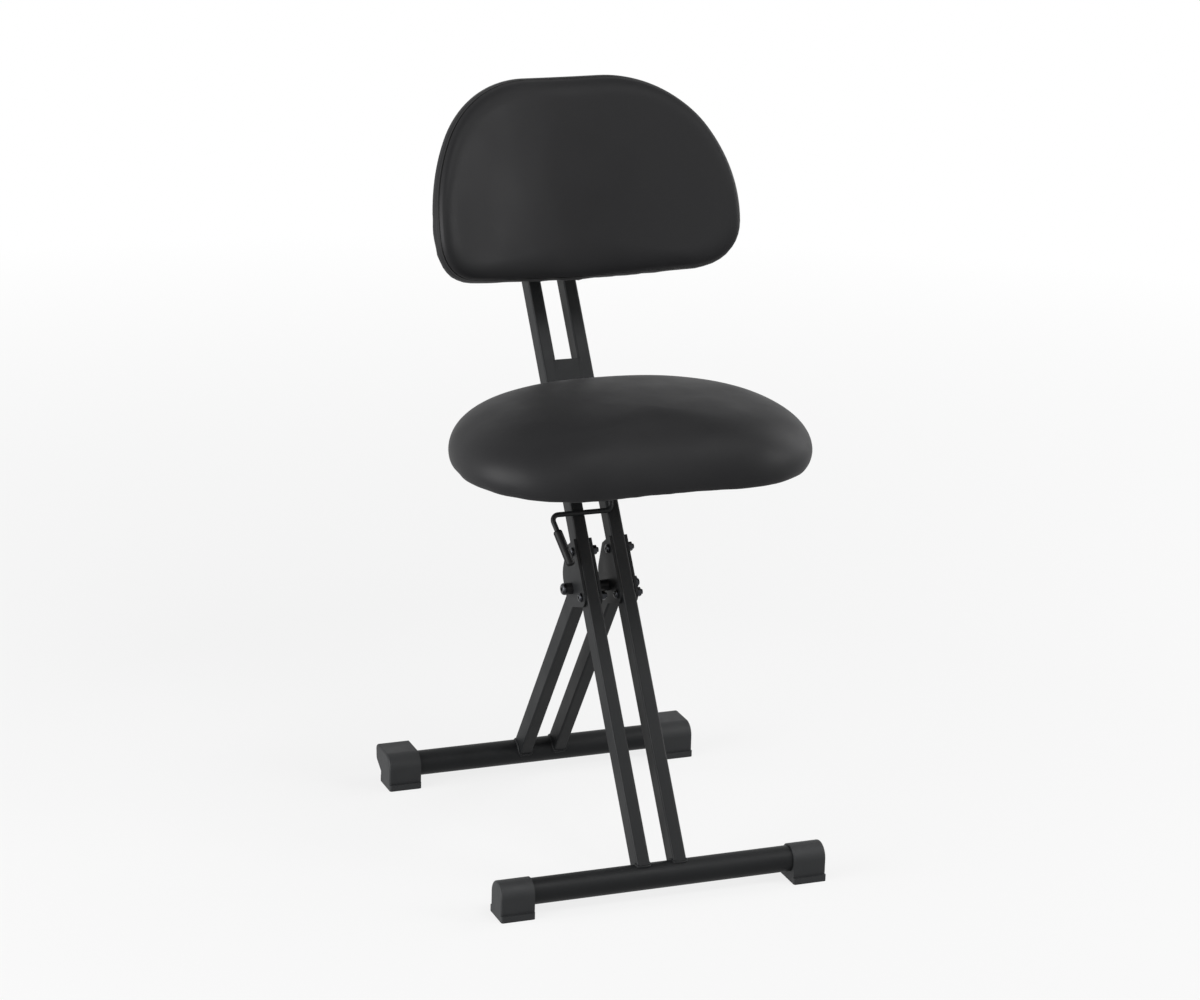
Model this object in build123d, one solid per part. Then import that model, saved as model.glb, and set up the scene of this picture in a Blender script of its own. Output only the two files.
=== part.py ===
from build123d import *
import math
import os

# Folding drum throne with a backrest. Millimetres, +Z up.
# The throne stands open, its sitter faces -Y, and X runs along the two floor bars.
# The origin is on the floor, under the middle of the whole throne.

# ---------------------------------------------------------------- floor bars and feet
bar_diameter = 30.0
bar_wall = 1.5
bar_length = 386.0
bar_axis_height = 25.5
bar_spacing = 404.0
cap_length = 40.0
cap_end_wall = 4.0
cap_wall = 2.0
cap_base_depth = 40.0
cap_flange_height = 7.5
cap_edge_round = 2.5
heel_reach = 39.0
heel_round = 7.0
heel_undercut = 11.0
heel_slope = 2.0
heel_drop = 3.0

# ---------------------------------------------------------------- spine and rear legs
tube_width = 16.0
tube_depth = 24.0
tube_wall = 1.5
tube_corner = 2.5
tube_spacing = 44.0
spine_lean = 34.4
spine_above_plate = 231.0
cross_plate_height = 40.0
cross_plate_thickness = 4.0
plug_lip = 2.0
plug_depth = 14.0

# ---------------------------------------------------------------- folding bracket
plate_thickness = 3.0
plate_top_margin = 12.0
plate_setback = 1.0
plate_overhang = 4.0
plate_foot_radius = 11.5
plate_bulge_radius = 22.0
plate_bulge_rise = 13.5
plate_crown_band = 1.0
pivot_along = 348.5
pivot_clearance = 14.0
lower_bolt_drop = 18.5
upper_bolt_rise = 36.5
leg_side_play = 0.3
leg_stop_gap = 0.2
leg_toe_gap = 0.5

# ---------------------------------------------------------------- fasteners
small_bolt = 6.0
large_bolt = 8.0
head_ratio = 1.75
head_height_ratio = 0.55
head_round_ratio = 0.7
key_ratio = 0.33
key_depth_ratio = 0.6
nut_flats_ratio = 1.65
nut_height_ratio = 0.85
washer_ratio = 2.0
washer_thickness = 1.6
thread_end = 2.5
hole_gap = 0.25
running_gap = 0.05
spacer_wall = 2.5
spacer_length = 8.0
bush_wall = 2.0

# ---------------------------------------------------------------- seat carriage
slide_gap = 0.3
seat_lift = 49.7
slider_length = 70.0
slider_top_margin = 2.0
slider_screw_pitch = 24.0
front_plate_length = 78.0
front_plate_margin = 1.5
carriage_plate = 4.0
arm_clearance = 10.0
arm_nose_height = 11.0
seat_plate_thickness = 3.0
seat_plate_width = 140.0
seat_plate_length = 205.0
seat_plate_inset = 17.0
seat_screw_inset = 15.0

# ---------------------------------------------------------------- height lock
shaft_rise = 10.0
rod_diameter = 6.0
rod_bend = 7.0
rod_drop = 39.0
rod_clearance = 1.0
rod_arm_side = 17.5
rod_reach = 57.0
rod_tail = 60.0
grip_tilt = 12.3
grip_diameter = 10.5
grip_length = 44.0
grip_round = 3.0
shaft_end = 13.5
eye_width = 8.0
eye_diameter = 15.0
cam_width = 6.0
cam_radius = 8.0
cam_throw = 1.6
cam_gap = 0.1

# ---------------------------------------------------------------- seat
seat_underside = 474.0
seat_width = 412.5
seat_depth = 299.0
seat_front_corner = 118.0
seat_rear_corner = 160.0
seat_spine_gap = 2.0
seat_rim_height = 60.5
seat_crown = 15.8
seat_edge_round = 48.0
seat_under_round = 10.0
board_thickness = 12.0
board_margin = 2.0
tee_nut_flange = 18.0
tee_nut_barrel = 8.0
tee_nut_lip = 1.5

# ---------------------------------------------------------------- backrest
back_drop = 4.4
back_forward = 120.0
back_tilt = 16.2
back_curve = 331.0
back_top = 113.5
back_bottom = 120.0
back_widest = 54.5
back_half_width = 185.5
back_side_radius = 209.0
back_top_corner = 130.0
cushion_thickness = 28.0
cushion_front_round = 14.0
shell_thickness = 9.0
screw_tip_cover = 3.0
shell_inset = 14.0
packer_width = 70.0
packer_screw_margin = 11.0
packer_depth = 8.0
packer_bottom = -95.0
packer_top = 45.0
back_plate_width = 90.0
back_plate_margin = 6.0
cheek_height = 75.0
cheek_top_margin = 6.0
cheek_edge = 8.0
back_bolt_margin = 16.0

# ---------------------------------------------------------------- values that follow
bar_radius = bar_diameter / 2
cap_radius = bar_radius + cap_wall
tube_side = tube_spacing / 2
tube_gap = tube_spacing - tube_width
inner_face = tube_gap / 2
outer_face = inner_face + tube_width
plates_outside = outer_face + plate_thickness
tube_front = tube_depth / 2
pivot_behind = tube_front + pivot_clearance
lower_bolt_along = pivot_along - lower_bolt_drop
upper_bolt_along = pivot_along + upper_bolt_rise
plate_top = upper_bolt_along + plate_top_margin
small_head = small_bolt * head_ratio
small_head_height = small_bolt * head_height_ratio
small_nut_flats = small_bolt * nut_flats_ratio
small_nut_height = small_bolt * nut_height_ratio
washer_diameter = small_bolt * washer_ratio
large_head = large_bolt * head_ratio
large_head_height = large_bolt * head_height_ratio
large_nut_flats = large_bolt * nut_flats_ratio
large_nut_height = large_bolt * nut_height_ratio
bush_diameter = large_bolt + 2 * bush_wall
far = 1000.0

# The carriage's height on the spine follows from the height of the seat, and the spine's top from its travel.
lean = math.radians(spine_lean)
plate_face = tube_front + slide_gap
front_face = plate_face + carriage_plate
seat_plate_low = seat_underside - seat_plate_thickness
seat_plate_rise = seat_plate_low - bar_axis_height
front_plate_top = (seat_plate_rise - front_face * math.sin(lean)) / math.cos(lean) - front_plate_margin
front_plate_bottom = front_plate_top - front_plate_length
slider_top = front_plate_top - slider_top_margin
slider_bottom = slider_top - slider_length
shaft_along = slider_bottom + shaft_rise
cross_plate_bottom = slider_top + seat_lift
spine_length = cross_plate_bottom + spine_above_plate
cheek_high = spine_length - cheek_top_margin
cheek_low = cheek_high - cheek_height
back_along = spine_length - back_drop

spine = Pos(0, 0, bar_axis_height) * Rot(X=-spine_lean)
pad = Pos((spine * Pos(0, -back_forward, back_along)).position) * Rot(X=-back_tilt)
pivot = spine * Pos(0, pivot_behind, pivot_along)
rear_bar = Pos(0, bar_spacing, bar_axis_height)
leg_run = bar_spacing - pivot.position.Y
leg_drop = pivot.position.Z - bar_axis_height
leg_length = math.hypot(leg_run, leg_drop)
leg_lean = math.degrees(math.atan2(leg_run, leg_drop))
leg = Pos(pivot.position) * Rot(X=leg_lean)


# ---------------------------------------------------------------- shared shapes
def x_rod(radius, start, end):
    """Round rod along X, from start to end."""
    rod = Cylinder(radius, end - start, align=(Align.CENTER, Align.CENTER, Align.MIN))
    return Pos(start, 0, 0) * Rot(Y=90) * rod


def x_ring(outer, bore, start, end):
    """Round ring or sleeve along X, outer and bore being diameters."""
    return x_rod(outer / 2, start, end) - x_rod(bore / 2, -far, far)


def x_nut(flats, bore, start, end):
    """Hexagon nut along X."""
    hexagon = extrude(Plane.YZ * RegularPolygon(flats / 2, 6, major_radius=False), end - start)
    return Pos(start, 0, 0) * hexagon - x_rod(bore / 2, -far, far)


def x_screw(diameter, head, head_height, start, end):
    """Button-head screw along X: its head's inner face is at start, its tip at end."""
    shank = x_rod(diameter / 2, 0, abs(end - start))
    cap = x_rod(head / 2, -head_height, 0)
    cap = fillet(cap.edges().sort_by(Axis.X)[0], head_height * head_round_ratio)
    key = extrude(Plane.YZ * RegularPolygon(diameter * key_ratio, 6), head_height * key_depth_ratio)
    screw = shank + cap - Pos(-head_height, 0, 0) * key
    return Pos(start, 0, 0) * (screw if end > start else mirror(screw, Plane.YZ))


def rect_tube(width, low, high):
    """Rounded rectangular tube along local Z."""
    outside = RectangleRounded(width, tube_depth, tube_corner)
    inside = RectangleRounded(width - 2 * tube_wall, tube_depth - 2 * tube_wall, tube_corner - tube_wall)
    return Pos(0, 0, low) * extrude(outside - inside, high - low)


def both_sides(shape):
    """A shape and its mirror image across the middle plane."""
    return {"right": shape, "left": mirror(shape, Plane.YZ)}


def yz_plate(points, start, end):
    """Flat plate cut to a polygon of (y, z) points, between two X positions."""
    face = make_face(Polyline(*[(0, y, z) for y, z in points], close=True))
    return Pos(start, 0, 0) * extrude(face, end - start, dir=(1, 0, 0))


nodes = {}

# ---------------------------------------------------------------- floor bars
# Round steel tubes. The legs are coped over them and welded.
bar = x_ring(bar_diameter, bar_diameter - 2 * bar_wall, -bar_length / 2, bar_length / 2)
nodes["front_crossbar"] = Pos(0, 0, bar_axis_height) * bar
nodes["rear_crossbar"] = rear_bar * bar


# ---------------------------------------------------------------- foot caps
# Moulded rubber. The front pair is a plain sleeve on a flange.
# The rear pair has a heel that stands out behind, below a flat top.
def foot_cap(with_heel):
    outline = Pos(0, bar_axis_height) * Circle(cap_radius)
    outline += Pos(0, bar_axis_height / 2) * Rectangle(2 * cap_radius, bar_axis_height)
    if with_heel:
        top = bar_axis_height + cap_radius
        heel_low = (heel_reach - heel_slope, bar_axis_height - heel_drop)
        corners = [(0, bar_axis_height), (0, top), (heel_reach, top), heel_low,
                   (cap_radius, heel_undercut), (0, heel_undercut)]
        heel = make_face(Polyline(*corners, close=True))
        heel = fillet(heel.vertices().sort_by(Axis.X)[-2:], heel_round)
        outline += heel
    body = extrude(Plane.YZ * outline, cap_length)
    end_edges = body.faces().sort_by(Axis.X)[-1].edges()
    body = fillet(end_edges.filter_by(lambda edge: edge.center().Z > cap_flange_height), cap_edge_round)
    flange = Box(cap_length, cap_base_depth, cap_flange_height, align=(Align.MIN, Align.CENTER, Align.MIN))
    flange = fillet(flange.edges().filter_by(Axis.Z), cap_edge_round)
    cap = body + flange
    socket = Pos(0, 0, bar_axis_height) * x_rod(bar_radius, -1, cap_length - cap_end_wall)
    return Pos(bar_length / 2 + cap_end_wall - cap_length, 0, 0) * (cap - socket)


for side, cap in both_sides(foot_cap(False)).items():
    nodes[f"front_foot_cap_{side}"] = cap
for side, cap in both_sides(foot_cap(True)).items():
    nodes[f"rear_foot_cap_{side}"] = Pos(0, bar_spacing, 0) * cap

# ---------------------------------------------------------------- spine
# Two straight tubes from the front bar to behind the backrest.
# In this section local Z runs up the spine from the bar's axis and local Y points behind it.
spine_tube = Pos(tube_side, 0, 0) * rect_tube(tube_width, 0, spine_length)
spine_tube -= x_rod(bar_radius, -far, far)
for along in (lower_bolt_along, upper_bolt_along):
    spine_tube -= Pos(0, 0, along) * x_rod(small_bolt / 2 + hole_gap, 0, far)
back_bolts = (cheek_low + back_bolt_margin, cheek_high - back_bolt_margin)
for along in back_bolts:
    spine_tube -= Pos(0, 0, along) * x_rod(large_bolt / 2 + hole_gap, 0, far)
for side, tube in both_sides(spine_tube).items():
    nodes[f"spine_tube_{side}"] = spine * tube

cross_plate = Box(
    tube_gap, cross_plate_thickness, cross_plate_height, align=(Align.CENTER, Align.MIN, Align.MIN))
nodes["spine_cross_plate"] = spine * Pos(0, -tube_front, cross_plate_bottom) * cross_plate

plug_lid = extrude(RectangleRounded(tube_width, tube_depth, tube_corner), plug_lip)
plug_lid = fillet(plug_lid.faces().sort_by(Axis.Z)[-1].edges(), plug_lip / 2)
plug_hole = RectangleRounded(tube_width - 2 * tube_wall, tube_depth - 2 * tube_wall, tube_corner - tube_wall)
plug_stem = extrude(plug_hole, -plug_depth)
plug = Pos(tube_side, 0, spine_length) * (plug_lid + plug_stem)
for side, shape in both_sides(plug).items():
    nodes[f"spine_plug_{side}"] = spine * shape


# ---------------------------------------------------------------- folding bracket
# Four flat plates flank the two spine tubes and carry the rear legs' pivot behind them.
def bracket_plate(start):
    lobes = Pos(pivot_behind, pivot_along + plate_bulge_rise) * Circle(plate_bulge_radius)
    lobes += Pos(pivot_behind, pivot_along) * Circle(plate_bulge_radius - leg_toe_gap)
    foot = Pos(0, lower_bolt_along) * Circle(plate_foot_radius)
    crown_depth = tube_depth - plate_setback + plate_overhang
    crown = Rectangle(crown_depth, plate_crown_band, align=(Align.MIN, Align.MAX))
    crown = Pos(plate_setback - tube_front, plate_top) * crown
    outline = make_hull(lobes.edges() + foot.edges() + crown.edges())
    plate = Pos(start, 0, 0) * extrude(Plane.YZ * outline, plate_thickness)
    for along in (lower_bolt_along, upper_bolt_along):
        plate -= Pos(0, 0, along) * x_rod(small_bolt / 2 + hole_gap, -far, far)
    plate -= Pos(0, pivot_behind, pivot_along) * x_rod(large_bolt / 2 + hole_gap, -far, far)
    return plate


for place, start in (("inner", inner_face - plate_thickness), ("outer", outer_face)):
    for side, plate in both_sides(bracket_plate(start)).items():
        nodes[f"bracket_plate_{side}_{place}"] = spine * plate

# Each tube and its two plates are clamped by two button-head screws, all put in from the left.
screws = []
washers = []
nuts = []
for head_face in (inner_face - plate_thickness, -plates_outside):
    nut_face = head_face + tube_width + 2 * plate_thickness
    nut_start = nut_face + washer_thickness
    nut_end = nut_start + small_nut_height
    for along in (lower_bolt_along, upper_bolt_along):
        place = spine * Pos(0, 0, along)
        screw = x_screw(small_bolt, small_head, small_head_height, head_face, nut_end + thread_end)
        screws.append(place * screw)
        washers.append(place * x_ring(washer_diameter, small_bolt, nut_face, nut_start))
        nuts.append(place * x_nut(small_nut_flats, small_bolt, nut_start, nut_end))
nodes["bracket_screws"] = Compound(children=screws)
nodes["bracket_washers"] = Compound(children=washers)
nodes["bracket_nuts"] = Compound(children=nuts)

# One long screw is the pivot of both rear legs.
spacer_end = plates_outside + spacer_length
pivot_nut_end = spacer_end + large_nut_height
pivot_screw = x_screw(large_bolt, large_head, large_head_height, -spacer_end, pivot_nut_end + thread_end)
nodes["pivot_screw"] = pivot * pivot_screw
nodes["pivot_nut"] = pivot * x_nut(large_nut_flats, large_bolt, spacer_end, pivot_nut_end)
spacer_bore = large_bolt + 2 * hole_gap
spacer_diameter = spacer_bore + 2 * spacer_wall
middle_end = inner_face - plate_thickness
nodes["pivot_sleeve"] = pivot * x_ring(spacer_diameter, spacer_bore, -middle_end, middle_end)
for side, spacer in both_sides(x_ring(spacer_diameter, spacer_bore, plates_outside, spacer_end)).items():
    nodes[f"pivot_spacer_{side}"] = pivot * spacer

# ---------------------------------------------------------------- rear legs
# Local Z runs up the leg through the pivot. The cut end bears on the spine tube when the throne is open.
leg_width = tube_width - 2 * leg_side_play
leg_tube = Pos(tube_side, 0, 0) * rect_tube(leg_width, -leg_length, 2 * tube_depth)
leg_tube -= Pos(0, 0, -leg_length) * x_rod(bar_radius, -far, far)
toe_radius = pivot_clearance - leg_toe_gap
toe = Box(far, far, far, align=(Align.CENTER, Align.MAX, Align.MIN)) - x_rod(toe_radius, -far, far)
leg_tube -= toe
leg_tube -= x_rod(bush_diameter / 2, 0, far)
leg_tube = leg * leg_tube
stop_face = Pos(0, tube_front + leg_stop_gap, 0)
leg_tube -= spine * stop_face * Box(far, far, 2 * far, align=(Align.CENTER, Align.MAX, Align.CENTER))
for side, tube in both_sides(leg_tube).items():
    nodes[f"rear_leg_{side}"] = tube

bush_start = inner_face + leg_side_play
bush = x_ring(bush_diameter, large_bolt + 2 * running_gap, bush_start, bush_start + leg_width)
for side, shape in both_sides(bush).items():
    nodes[f"leg_bush_{side}"] = leg * shape

# ---------------------------------------------------------------- seat carriage
# A block slides between the spine tubes, held by a plate in front of them and a plate behind.
front_plate_width = 2 * (outer_face + arm_clearance + carriage_plate)
screw_places = (slider_top - slider_screw_pitch / 2, slider_top - slider_screw_pitch * 3 / 2)


def n_rod(radius, start, end):
    """Round rod square to the spine's front face, from start to end behind the tubes' middle."""
    rod = Cylinder(radius, end - start, align=(Align.CENTER, Align.CENTER, Align.MIN))
    return Pos(0, start, 0) * Rot(X=-90) * rod


def n_nut(flats, bore, start, end):
    hexagon = extrude(RegularPolygon(flats / 2, 6, major_radius=False), end - start)
    return Pos(0, start, 0) * Rot(X=-90) * hexagon - n_rod(bore / 2, -far, far)


carriage_holes = []
for along in (*screw_places, shaft_along):
    carriage_holes.append(Pos(0, 0, along) * n_rod(small_bolt / 2 + hole_gap, -far, far))

block = Box(
    tube_gap - 2 * slide_gap, 2 * plate_face, slider_length, align=(Align.CENTER, Align.CENTER, Align.MIN))
block = Pos(0, 0, slider_bottom) * block
front_plate = Pos(0, -plate_face, front_plate_bottom) * Box(
    front_plate_width, carriage_plate, front_plate_length, align=(Align.CENTER, Align.MAX, Align.MIN))
rear_plate = Pos(0, plate_face, slider_bottom) * Box(
    2 * outer_face, carriage_plate, slider_length, align=(Align.CENTER, Align.MIN, Align.MIN))
nodes["slider_block"] = spine * (block - carriage_holes)
nodes["slider_front_plate"] = spine * (front_plate - carriage_holes)
nodes["slider_rear_plate"] = spine * (rear_plate - carriage_holes)

slider_screws = []
slider_nuts = []
for along in screw_places:
    head = n_rod(small_nut_flats / 2, -front_face - small_nut_height, -front_face)
    shank = n_rod(small_bolt / 2, -front_face, front_face + small_nut_height + thread_end)
    slider_screws.append(spine * Pos(0, 0, along) * (head + shank))
    nut = n_nut(small_nut_flats, small_bolt, front_face, front_face + small_nut_height)
    slider_nuts.append(spine * Pos(0, 0, along) * nut)
nodes["slider_screws"] = Compound(children=slider_screws)
nodes["slider_nuts"] = Compound(children=slider_nuts)

# Two arms reach forward from the front plate and carry the seat plate.
# The seat's lower rear edge just clears the front faces of the spine tubes.
round_depth = tube_front + seat_under_round + seat_spine_gap
round_rise = seat_underside + seat_under_round - bar_axis_height
seat_rear = (round_rise * math.sin(lean) - round_depth) / math.cos(lean) + seat_under_round
seat_front = seat_rear - seat_depth
seat_plate_rear = seat_rear - seat_plate_inset
seat_plate_front = seat_plate_rear - seat_plate_length
arm_front = seat_plate_front + seat_screw_inset
plate_low = spine * Pos(0, -front_face, front_plate_bottom)
plate_high = spine * Pos(0, -front_face, front_plate_top)
arm_outline = [
    (plate_low.position.Y, plate_low.position.Z),
    (plate_high.position.Y, plate_high.position.Z),
    (seat_plate_rear, seat_plate_low),
    (arm_front, seat_plate_low),
    (arm_front, seat_plate_low - arm_nose_height),
]
arm = yz_plate(arm_outline, front_plate_width / 2 - carriage_plate, front_plate_width / 2)
for side, shape in both_sides(arm).items():
    nodes[f"seat_arm_{side}"] = shape

seat_plate = Pos(0, seat_plate_front, seat_plate_low) * Box(
    seat_plate_width, seat_plate_length, seat_plate_thickness, align=(Align.CENTER, Align.MIN, Align.MIN))
seat_plate = fillet(seat_plate.edges().filter_by(Axis.Z), seat_screw_inset / 2)
seat_screw_places = []
for x in (-1, 1):
    for y in (seat_plate_front + seat_screw_inset, seat_plate_rear - seat_screw_inset):
        seat_screw_places.append(Pos(x * (seat_plate_width / 2 - seat_screw_inset), y, 0))
for place in seat_screw_places:
    hole = Cylinder(small_bolt / 2 + hole_gap, 3 * seat_plate_thickness)
    seat_plate -= place * Pos(0, 0, seat_plate_low) * hole
nodes["seat_plate"] = seat_plate

# ---------------------------------------------------------------- height lock
# Turning the bent rod swings two cams off the front plate and frees the carriage.
# The eye bolt ties the rod's shaft to the rear plate.
shaft_front = front_face + cam_gap + cam_radius + cam_throw
shaft = spine * Pos(0, -shaft_front, shaft_along)
rod_back = shaft_front - tube_front - rod_clearance - rod_diameter / 2
tail_side = rod_reach - rod_tail * math.sin(math.radians(grip_tilt))
tail_drop = rod_drop + rod_tail * math.cos(math.radians(grip_tilt))
rod_path = FilletPolyline(
    (-shaft_end, 0, 0),
    (rod_arm_side, 0, 0),
    (rod_arm_side, rod_back, -rod_drop),
    (-rod_reach, rod_back, -rod_drop),
    (-tail_side, rod_back, -tail_drop),
    radius=rod_bend,
)
rod = sweep(Plane(origin=rod_path @ 0, z_dir=rod_path % 0) * Circle(rod_diameter / 2), path=rod_path)
nodes["lever_rod"] = shaft * rod

grip = Cylinder(grip_diameter / 2, grip_length, align=(Align.CENTER, Align.CENTER, Align.MIN))
grip = fillet(grip.edges().filter_by(GeomType.CIRCLE), grip_round)
grip -= Pos(0, 0, grip_round) * Cylinder(rod_diameter / 2, far, align=(Align.CENTER, Align.CENTER, Align.MIN))
grip_place = Pos(-tail_side, rod_back, -tail_drop) * Rot(Y=-grip_tilt) * Pos(0, 0, -grip_round)
nodes["lever_grip"] = shaft * grip_place * grip

cam_start = eye_width / 2 + cam_gap
cam = Pos(0, cam_throw, 0) * x_rod(cam_radius, cam_start, cam_start + cam_width)
cam -= x_rod(rod_diameter / 2, 0, far)
for side, shape in both_sides(cam).items():
    nodes[f"lock_cam_{side}"] = shaft * shape

bolt_end = front_face + small_nut_height + thread_end + shaft_front
eye_bolt = x_rod(eye_diameter / 2, -eye_width / 2, eye_width / 2) + n_rod(small_bolt / 2, 0, bolt_end)
eye_bolt -= x_rod(rod_diameter / 2 + running_gap, -far, far)
nodes["lock_eye_bolt"] = shaft * eye_bolt
lock_nut = n_nut(small_nut_flats, small_bolt, front_face, front_face + small_nut_height)
nodes["lock_nut"] = spine * Pos(0, 0, shaft_along) * lock_nut

# ---------------------------------------------------------------- seat
# A foam cushion on a plywood board. The board is let into the cushion's underside.
half_width = seat_width / 2
seat_plan = Pos(0, (seat_front + seat_rear) / 2, seat_underside) * Rectangle(seat_width, seat_depth)
seat_plan = fillet(seat_plan.vertices().group_by(Axis.Y)[0], seat_front_corner)
seat_plan = fillet(seat_plan.vertices().group_by(Axis.Y)[-1], seat_rear_corner)
board_inset = seat_under_round + board_margin
rim = extrude(seat_plan, seat_rim_height + 2 * seat_crown)
crown_radius = (half_width**2 + seat_crown**2) / (2 * seat_crown)
crown_top = seat_underside + seat_rim_height + seat_crown
crown = Pos(0, (seat_front + seat_rear) / 2, crown_top - crown_radius) * Sphere(crown_radius)
cushion = rim & crown
cushion = fillet(cushion.faces().sort_by(Axis.Z)[-1].edges(), seat_edge_round)
cushion = fillet(cushion.faces().sort_by(Axis.Z)[0].edges(), seat_under_round)
board = extrude(offset(seat_plan, -board_inset), board_thickness)
cushion -= board
board_top = seat_underside + board_thickness
tee_nuts = []
seat_screws = []
for place in seat_screw_places:
    barrel = Pos(0, 0, seat_underside) * Cylinder(
        tee_nut_barrel / 2, board_thickness, align=(Align.CENTER, Align.CENTER, Align.MIN))
    flange = Pos(0, 0, board_top - tee_nut_lip) * Cylinder(
        tee_nut_flange / 2, tee_nut_lip, align=(Align.CENTER, Align.CENTER, Align.MIN))
    head = Pos(0, 0, seat_plate_low) * Cylinder(
        small_head / 2, small_head_height, align=(Align.CENTER, Align.CENTER, Align.MAX))
    head = fillet(head.edges().sort_by(Axis.Z)[0], small_head_height * head_round_ratio)
    shank = Pos(0, 0, seat_plate_low) * Cylinder(
        small_bolt / 2, seat_plate_thickness + board_thickness - tee_nut_lip,
        align=(Align.CENTER, Align.CENTER, Align.MIN))
    board -= place * (barrel + flange)
    tee_nuts.append(place * (barrel + flange - shank))
    seat_screws.append(place * (head + shank))
nodes["seat_cushion"] = cushion
nodes["seat_board"] = board
nodes["seat_tee_nuts"] = Compound(children=tee_nuts)
nodes["seat_screws"] = Compound(children=seat_screws)


# ---------------------------------------------------------------- backrest
# A cushion on a curved plywood shell. In this section local Z runs up the pad, local Y points behind it.
# In front view each side is a long arc that runs into a top corner above and a smaller bottom corner.
side_middle = back_half_width - back_side_radius
corner_rise = back_top + back_widest - back_top_corner
corner_run = math.sqrt((back_side_radius - back_top_corner) ** 2 - corner_rise**2)
side_turn = math.degrees(math.atan2(corner_rise, corner_run))
top_middle = side_middle + corner_run
bottom_corner = back_bottom - back_widest
bottom_middle = back_half_width - bottom_corner
side = CenterArc((side_middle, -back_widest), back_side_radius, 0, side_turn)
top_corner = CenterArc((top_middle, back_top - back_top_corner), back_top_corner, side_turn, 90 - side_turn)
low_corner = CenterArc((bottom_middle, -back_widest), bottom_corner, 270, 90)
right_half = low_corner + side + top_corner
top = Line((-top_middle, back_top), (top_middle, back_top))
bottom = Line((-bottom_middle, -back_bottom), (bottom_middle, -back_bottom))
back_view = make_face(right_half + mirror(right_half, Plane.YZ) + top + bottom)


def curved_slab(inset, front_radius, rear_radius):
    """The outline cut from a bent sheet whose centre of curvature is in front of the pad."""
    view = offset(back_view, -inset) if inset else back_view
    prism = extrude(Plane.XZ * view, far, both=True)
    tall = 2 * (back_top + back_bottom)
    bend = Pos(0, -back_curve, 0) * (Cylinder(rear_radius, tall) - Cylinder(front_radius, tall))
    front_half = Pos(0, -back_curve, 0) * Box(far, far, far, align=(Align.CENTER, Align.MIN, Align.CENTER))
    return prism & bend & front_half


back_cushion = curved_slab(0, back_curve - cushion_thickness, back_curve)
# The sitter's face is the second largest, after the one that lies on the shell.
sitter_face = back_cushion.faces().sort_by(SortBy.AREA)[-2]
back_cushion = fillet(sitter_face.edges(), cushion_front_round)
nodes["backrest_cushion"] = pad * back_cushion
shell = curved_slab(shell_inset, back_curve, back_curve + shell_thickness)

packer_back = shell_thickness + packer_depth
packer_height = packer_top - packer_bottom
packer = Pos(0, packer_back, packer_bottom) * Box(
    packer_width, packer_depth + shell_thickness, packer_height, align=(Align.CENTER, Align.MAX, Align.MIN))
packer -= Pos(0, -back_curve, 0) * Cylinder(back_curve + shell_thickness, 4 * back_top)
back_plate_height = packer_height + 2 * back_plate_margin
back_plate = Pos(0, packer_back, packer_bottom - back_plate_margin) * Box(
    back_plate_width, carriage_plate, back_plate_height, align=(Align.CENTER, Align.MIN, Align.MIN))
plate_rear = packer_back + carriage_plate
backrest_screws = []
packer_screw_x = packer_width / 2 - packer_screw_margin
for x in (-packer_screw_x, packer_screw_x):
    for z in (packer_bottom + back_bolt_margin, packer_top - back_bolt_margin):
        place = Pos(x, 0, z)
        shank = n_rod(small_bolt / 2, screw_tip_cover, plate_rear)
        head = n_rod(small_head / 2, plate_rear, plate_rear + small_head_height)
        hole = place * n_rod(small_bolt / 2, screw_tip_cover, far)
        shell -= hole
        packer -= hole
        back_plate -= hole
        backrest_screws.append(pad * place * (shank + head))
nodes["backrest_shell"] = pad * shell
nodes["backrest_packer"] = pad * packer
nodes["backrest_plate"] = pad * back_plate
nodes["backrest_screws"] = Compound(children=backrest_screws)

# Two cheeks join the backrest's plate to the inner faces of the spine tubes.
plate_bottom = pad * Pos(0, plate_rear, packer_bottom)
plate_summit = pad * Pos(0, plate_rear, packer_top)
spine_corners = []
for along, behind in ((cheek_high, cheek_edge), (cheek_low, cheek_edge), (cheek_low, -cheek_edge)):
    corner = spine * Pos(0, behind, along)
    spine_corners.append((corner.position.Y, corner.position.Z))
cheek_outline = [
    (plate_bottom.position.Y, plate_bottom.position.Z),
    (plate_summit.position.Y, plate_summit.position.Z),
    *spine_corners,
]
cheek = yz_plate(cheek_outline, inner_face - carriage_plate, inner_face)
for along in back_bolts:
    cheek -= spine * Pos(0, 0, along) * x_rod(large_bolt / 2 + hole_gap, -far, far)
for side, shape in both_sides(cheek).items():
    nodes[f"backrest_cheek_{side}"] = shape

through_bolts = []
through_nuts = []
for along in back_bolts:
    place = spine * Pos(0, 0, along)
    nut_end = outer_face + large_nut_height
    through_bolt = x_screw(large_bolt, large_head, large_head_height, -outer_face, nut_end + thread_end)
    through_bolts.append(place * through_bolt)
    through_nuts.append(place * x_nut(large_nut_flats, large_bolt, outer_face, nut_end))
nodes["backrest_bolts"] = Compound(children=through_bolts)
nodes["backrest_nuts"] = Compound(children=through_nuts)

# ---------------------------------------------------------------- place and write
whole = Compound(children=[Compound(node.solids()) for node in nodes.values()]).bounding_box()
centred = Pos(0, -(whole.min.Y + whole.max.Y) / 2, 0)
os.makedirs("parts", exist_ok=True)
for name, shape in nodes.items():
    export_step(centred * shape, f"parts/{name}.step")

print("nodes", len(nodes))
print("box", whole)
for name, place in (("leg pivot", pivot), ("lever shaft", shaft), ("spine foot", spine)):
    print(name, (centred * place).position)
print("leg lean", leg_lean, "leg length", leg_length)
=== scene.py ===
import math
import bpy
from mathutils import Matrix, Vector, kdtree, noise


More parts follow.
